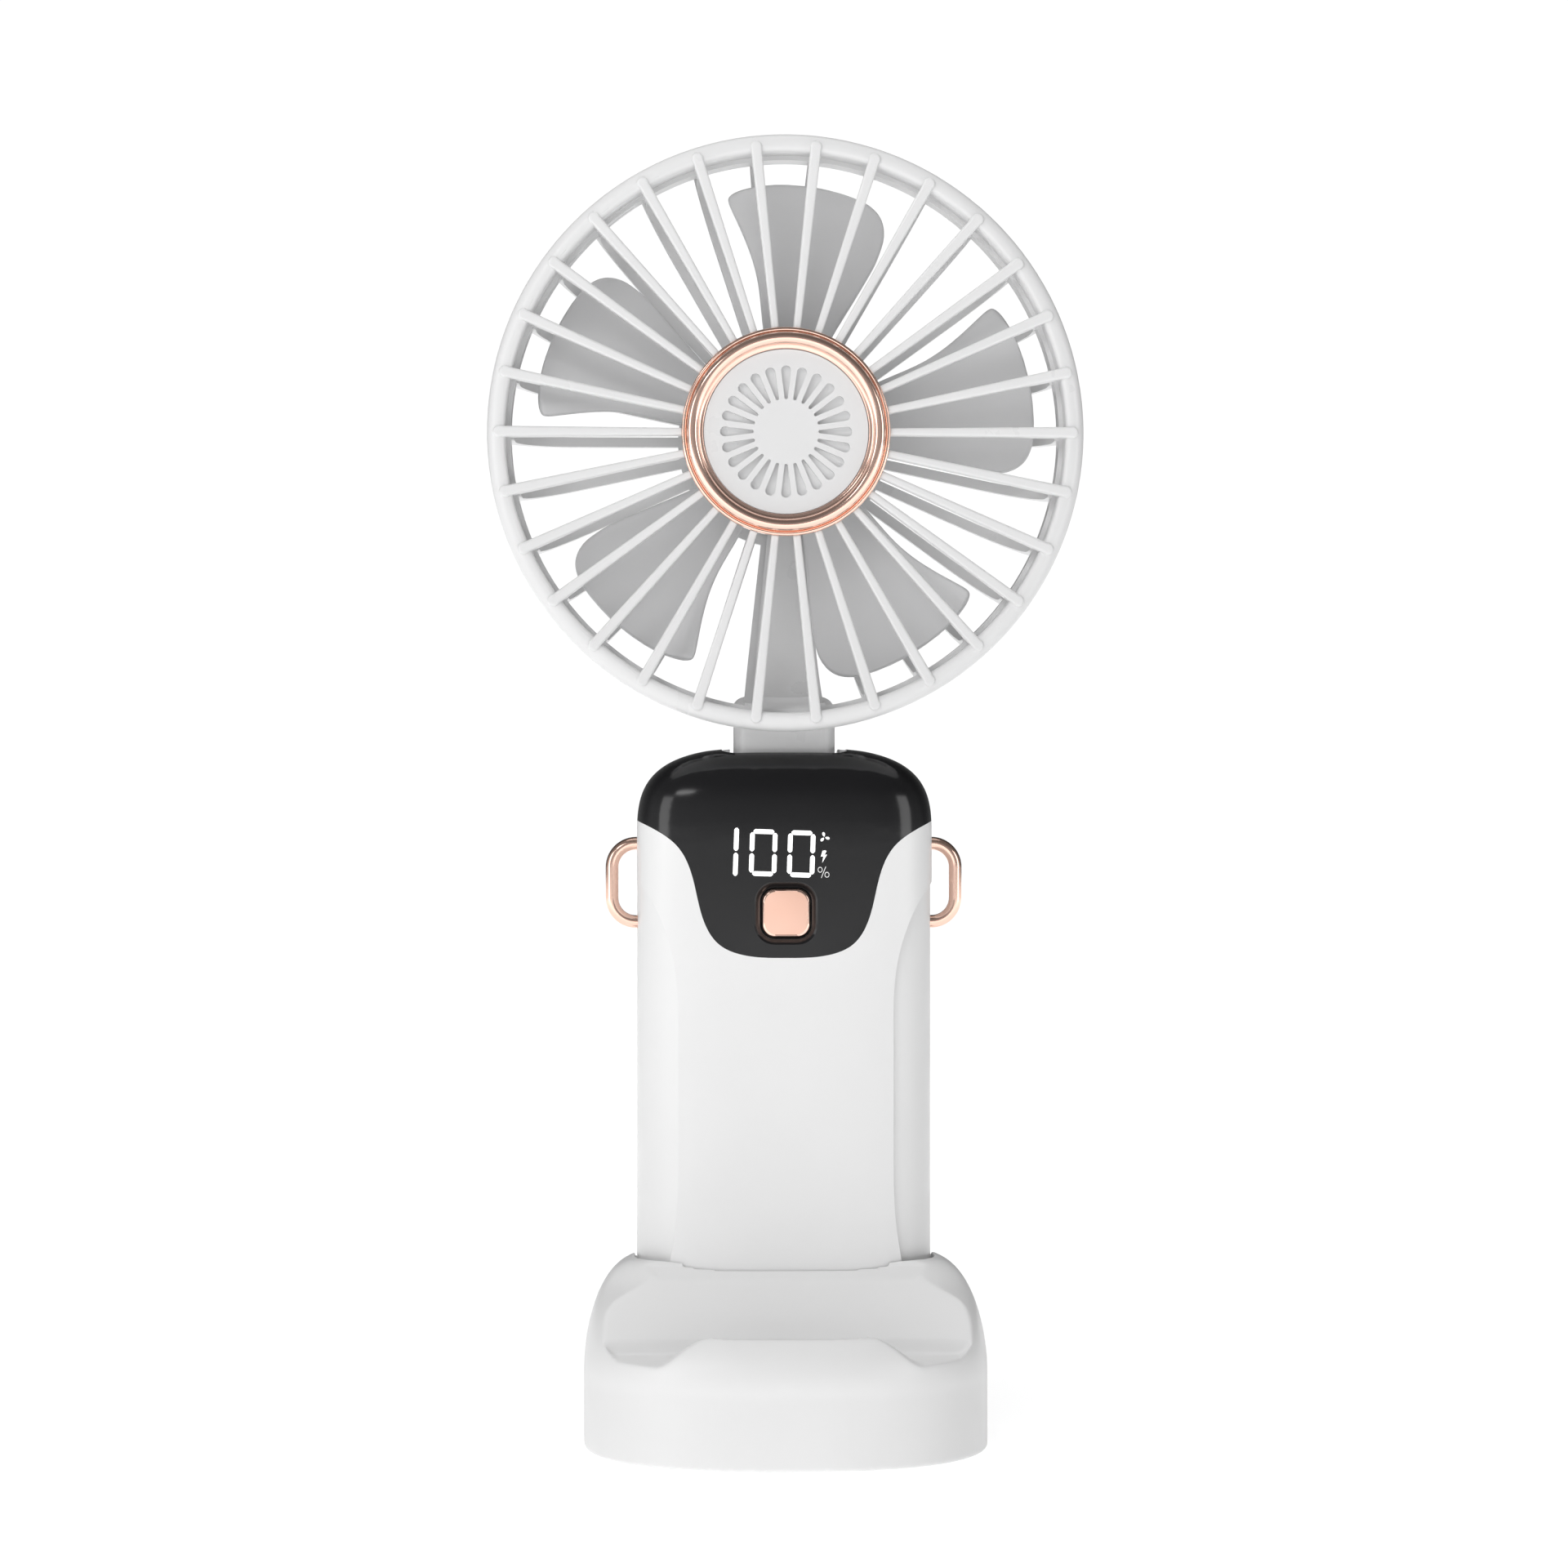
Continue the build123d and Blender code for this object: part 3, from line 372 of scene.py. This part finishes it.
def tilted(outline):
    """The lit display sits a little turned, as on a hand-fitted module."""
    points = []
    for x, z in outline:
        dx, dz = x - DISPLAY_MIDDLE[0], z - DISPLAY_MIDDLE[1]
        points.append((DISPLAY_MIDDLE[0] + dx * math.cos(DISPLAY_TILT) + dz * math.sin(DISPLAY_TILT),
                       DISPLAY_MIDDLE[1] - dx * math.sin(DISPLAY_TILT) + dz * math.cos(DISPLAY_TILT)))
    return points


def segment(start, end, half=0.38):
    """A display segment: a bar with pointed, slightly blunted ends."""
    start, end = Vector(start), Vector(end)
    along = (end - start).normalized()
    side = Vector((-along.y, along.x))
    tip = 0.12
    points = [start + side * tip, start + along * (half - tip) + side * half * 0.93,
              start + along * half + side * half, end - along * half + side * half,
              end - along * (half - tip) + side * half * 0.93, end + side * tip,
              end - side * tip, end - along * (half - tip) - side * half * 0.93,
              end - along * half - side * half, start + along * half - side * half,
              start + along * (half - tip) - side * half * 0.93, start - side * tip]
    return [tuple(point) for point in points]


def display():
    top, bottom, middle_z, gap = 98.78, 92.02, 95.4, 0.16
    strokes = [((-8.05, 99.25), (-8.05, middle_z + gap)), ((-8.05, middle_z - gap), (-8.05, 91.55))]
    for left in (-5.5, 0.6):
        right = left + 3.65
        for x in (left, right):
            strokes.append(((x, top - gap), (x, middle_z + gap)))
            strokes.append(((x, middle_z - gap), (x, bottom + gap)))
        for z in (top, bottom):
            strokes.append(((left + gap, z), (right - gap, z)))
    verts, faces = [], []
    low, high = PANEL_Y - 0.02, PANEL_Y + 0.06
    for start, end in strokes:
        plate(verts, faces, tilted(segment(start, end)), low, high)
    add_piece("display_digits", verts, faces, "handle", "display_light")

    verts, faces = [], []
    fan_x, fan_z = 6.15, 97.95
    for blade in range(3):
        turn = math.radians(15 + 120 * blade)
        petal = []
        for step in range(14):
            angle = 2 * math.pi * step / 14
            along = 0.48 + 0.36 * math.cos(angle)
            across = 0.27 * math.sin(angle) * (0.55 + 0.45 * math.cos(angle * 0.5) ** 2)
            petal.append((fan_x + along * math.sin(turn) * -1 + across * math.cos(turn),
                          fan_z + along * math.cos(turn) + across * math.sin(turn)))
        plate(verts, faces, petal, low, high)
    bolt = [(0.18, 1.0), (-0.22, 0.95), (-0.5, 0.02), (-0.08, 0.06), (-0.28, -1.0), (0.5, 0.34),
            (0.1, 0.28), (0.42, 0.9)]
    plate(verts, faces, [(6.06 + x, 94.85 + z) for x, z in bolt], low, high)
    add_piece("display_icons", verts, faces, "handle", "display_light")

    verts, faces = [], []
    for x, z in ((5.45, 92.75), (6.55, 91.95)):
        for step in range(16):
            a, b = 2 * math.pi * step / 16, 2 * math.pi * (step + 1) / 16
            ring = [(x + r * 0.85 * math.cos(t), z + r * math.sin(t))
                    for r, t in ((0.34, a), (0.46, a), (0.46, b), (0.34, b))]
            plate(verts, faces, ring, low, high)
    plate(verts, faces, [(5.58, 91.44), (5.70, 91.44), (6.42, 93.26), (6.30, 93.26)], low, high)
    add_piece("display_percent", verts, faces, "handle", "display_dim")


LOOKS["display_light"] = glowing("display_light", (0.95, 0.95, 0.95), 0.6)
LOOKS["display_dim"] = glowing("display_dim", (0.7, 0.7, 0.7), 0.3)
display()


# ---- power button ----
def rounded_square(half, corner, steps=10):
    """Outline of the button at one depth, in (x, z)."""
    points = []
    for quarter in range(4):
        for step in range(steps + 1):
            angle = math.pi / 2 * (quarter + step / steps)
            turn = math.pi / 2 * (quarter + 0.5)
            reach = half - corner
            x = math.copysign(reach, math.cos(turn)) + corner * math.cos(angle)
            z = math.copysign(reach, math.sin(turn)) + corner * math.sin(angle)
            points.append((x, BUTTON_Z + z))
    return points


def stacked(name, levels, body, slot, replaces=(), angle=32):
    """A closed body through rounded squares: (half width, corner radius, depth)."""
    verts = []
    for half, corner, depth in levels:
        verts += [(x, depth, z) for x, z in rounded_square(half, corner)]
    count = len(rounded_square(1, 0.5))
    faces = grid_faces(len(levels), count)
    faces.append(tuple(range(count)))
    faces.append(tuple((len(levels) - 1) * count + index for index in range(count)))
    return add_piece(name, verts, faces, body, slot, replaces, angle)


stacked("button_rim", [(3.30, 1.82, -5.80), (3.52, 1.90, -5.86), (3.72, 2.0, -5.70),
                       (3.86, 2.08, -5.35), (3.90, 2.1, -4.9), (3.90, 2.1, -4.2)],
        "button", "rose_gold", ["power_button"], 50)
stacked("button_flange", [(3.90, 2.1, -4.2), (3.90, 2.1, -3.05), (4.50, 2.6, -3.05),
                          (4.50, 2.6, -2.70)], "button", "dark_plastic", (), 50)
stacked("button_key", [(3.44, 1.86, -5.70), (3.44, 1.86, -5.86), (3.40, 1.84, -5.90)], "button",
        "button_face", (), 50)


# ---- the CAD parts ----
for name, node in nodes.items():
    finish_piece(node, SLOTS[name])
    shade(node)


def moulded(name, voxel, rounds):
    """Evens the mesh out and softens its edges, as on a moulded part."""
    node = nodes[name]
    node.modifiers.clear()
    melt = node.modifiers.new("melt", "REMESH")
    melt.mode = "VOXEL"
    melt.voxel_size = voxel * MM
    melt.use_smooth_shade = True
    soften = node.modifiers.new("soften", "SMOOTH")
    soften.factor = 0.5
    soften.iterations = rounds


BASE_VOXEL = 0.33
BASE_ROUNDS = 7
moulded("base_shell", BASE_VOXEL, BASE_ROUNDS)


# ---- lights, floor and camera ----
KEY_POWER = 2.75
GLINT_POWER = 0.45
STRIP_POWER = 1.2
TOP_POWER = 4.5
WORLD_LEFT = 0.48
WORLD_RIGHT = 0.28
WORLD_TOP = 0.42
WORLD_BACK = 0.30
WORLD_SEEN = 1.05           # the white that the camera sees behind the object
FLOOR_NEAR = 0.55           # how much the floor glows round the object, and further off; the weaker glow round the object paints a shade round the base
FLOOR_FAR = 1.0


def area_light(name, place, target, size, power, shape="RECTANGLE"):
    data = bpy.data.lights.new(name, "AREA")
    data.shape = shape
    data.size, data.size_y = size
    data.energy = power
    obj = bpy.data.objects.new(name, data)
    obj.location = place
    obj.rotation_euler = (Vector(target) - Vector(place)).to_track_quat("-Z", "Y").to_euler()
    bpy.context.scene.collection.objects.link(obj)
    return obj


area_light("key", (-0.40, -0.80, 0.55), (0, 0, 0.10), (0.7, 0.5), KEY_POWER).visible_glossy = False
area_light("top", (0.0, 0.0, 0.95), (0, 0, 0.10), (0.8, 0.8), TOP_POWER).visible_glossy = False
for side in (-1, 1):
    strip = area_light("strip", (0.70 * side, -0.47, 0.20), (0, 0, 0.14), (0.3, 0.6), STRIP_POWER)
    strip.visible_diffuse = False
area_light("glint", (-0.45, -0.70, 0.60), (0, 0, 0.10), (0.34, 0.12), GLINT_POWER, "ELLIPSE")


def spread(tree, value, low, high, at_low, at_high):
    """Maps a value smoothly from one range to another."""
    node = tree.nodes.new("ShaderNodeMapRange")
    node.interpolation_type = "SMOOTHSTEP"
    node.inputs["From Min"].default_value = low
    node.inputs["From Max"].default_value = high
    node.inputs["To Min"].default_value = at_low
    node.inputs["To Max"].default_value = at_high
    tree.links.new(value, node.inputs["Value"])
    return node.outputs["Result"]


def product(tree, first, second):
    node = tree.nodes.new("ShaderNodeMath")
    node.operation = "MULTIPLY"
    tree.links.new(first, node.inputs[0])
    tree.links.new(second, node.inputs[1])
    return node.outputs["Value"]


def studio_world():
    """White to the camera. It lights the scene from the sides and less from above."""
    world = bpy.data.worlds.new("studio")
    bpy.context.scene.world = world
    world.use_nodes = True
    tree = world.node_tree
    coords = tree.nodes.new("ShaderNodeTexCoord")
    axes = tree.nodes.new("ShaderNodeSeparateXYZ")
    tree.links.new(coords.outputs["Generated"], axes.inputs["Vector"])
    across = spread(tree, axes.outputs["X"], -0.9, 0.9, WORLD_LEFT, WORLD_RIGHT)
    upward = spread(tree, axes.outputs["Z"], 0.05, 0.65, 1.0, WORLD_TOP)
    behind = spread(tree, axes.outputs["Y"], -0.1, 0.5, 1.0, WORLD_BACK)
    level = product(tree, across, product(tree, upward, behind))
    tree.links.new(level, tree.nodes["Background"].inputs["Strength"])
    tree.nodes["Background"].inputs["Color"].default_value = (1, 1, 1, 1)
    plain = tree.nodes.new("ShaderNodeBackground")
    plain.inputs["Strength"].default_value = WORLD_SEEN
    plain.inputs["Color"].default_value = (1, 1, 1, 1)
    choice = tree.nodes.new("ShaderNodeMixShader")
    path = tree.nodes.new("ShaderNodeLightPath")
    tree.links.new(path.outputs["Is Camera Ray"], choice.inputs[0])
    tree.links.new(tree.nodes["Background"].outputs[0], choice.inputs[1])
    tree.links.new(plain.outputs[0], choice.inputs[2])
    tree.links.new(choice.outputs[0], tree.nodes["World Output"].inputs["Surface"])


studio_world()

floor_size = 4.0
floor_mesh = bpy.data.meshes.new("floor")
floor_mesh.from_pydata([(-floor_size, -floor_size, 0), (floor_size, -floor_size, 0),
                        (floor_size, floor_size, 0), (-floor_size, floor_size, 0)],
                       [], [(0, 1, 2, 3)])
floor = bpy.data.objects.new("floor", floor_mesh)
bpy.context.scene.collection.objects.link(floor)
floor_paint = material("floor_paint", (0.90, 0.90, 0.90), 0.7, vary=0.005)
floor_shader = floor_paint.node_tree.nodes["Principled BSDF"]
floor_shader.inputs["Emission Color"].default_value = (1, 1, 1, 1)
place = floor_paint.node_tree.nodes.new("ShaderNodeTexCoord")
distance = floor_paint.node_tree.nodes.new("ShaderNodeVectorMath")
distance.operation = "LENGTH"
floor_paint.node_tree.links.new(place.outputs["Object"], distance.inputs[0])
# painted light: the floor glows, and glows less round the object, a painted shade round the base
glow = spread(floor_paint.node_tree, distance.outputs["Value"], 0.08, 0.60, FLOOR_NEAR, FLOOR_FAR)
floor_paint.node_tree.links.new(glow, floor_shader.inputs["Emission Strength"])
floor_mesh.materials.append(floor_paint)

YAW = math.radians(1.5)
CAMERA_DISTANCE = 0.680
CAMERA_HEIGHT = 0.1065
CAMERA_SIDE = -0.0002       # the object stands this far off the middle of the view
camera_data = bpy.data.cameras.new("camera")
camera_data.sensor_width = 36.0
camera_data.lens = 96.6
camera = bpy.data.objects.new("camera", camera_data)
camera.location = (CAMERA_SIDE - CAMERA_DISTANCE * math.sin(YAW),
                   -CAMERA_DISTANCE * math.cos(YAW), CAMERA_HEIGHT)
camera.rotation_euler = (math.radians(90), 0, -YAW)
bpy.context.scene.collection.objects.link(camera)
bpy.context.scene.camera = camera
bpy.context.scene.view_settings.view_transform = "Standard"
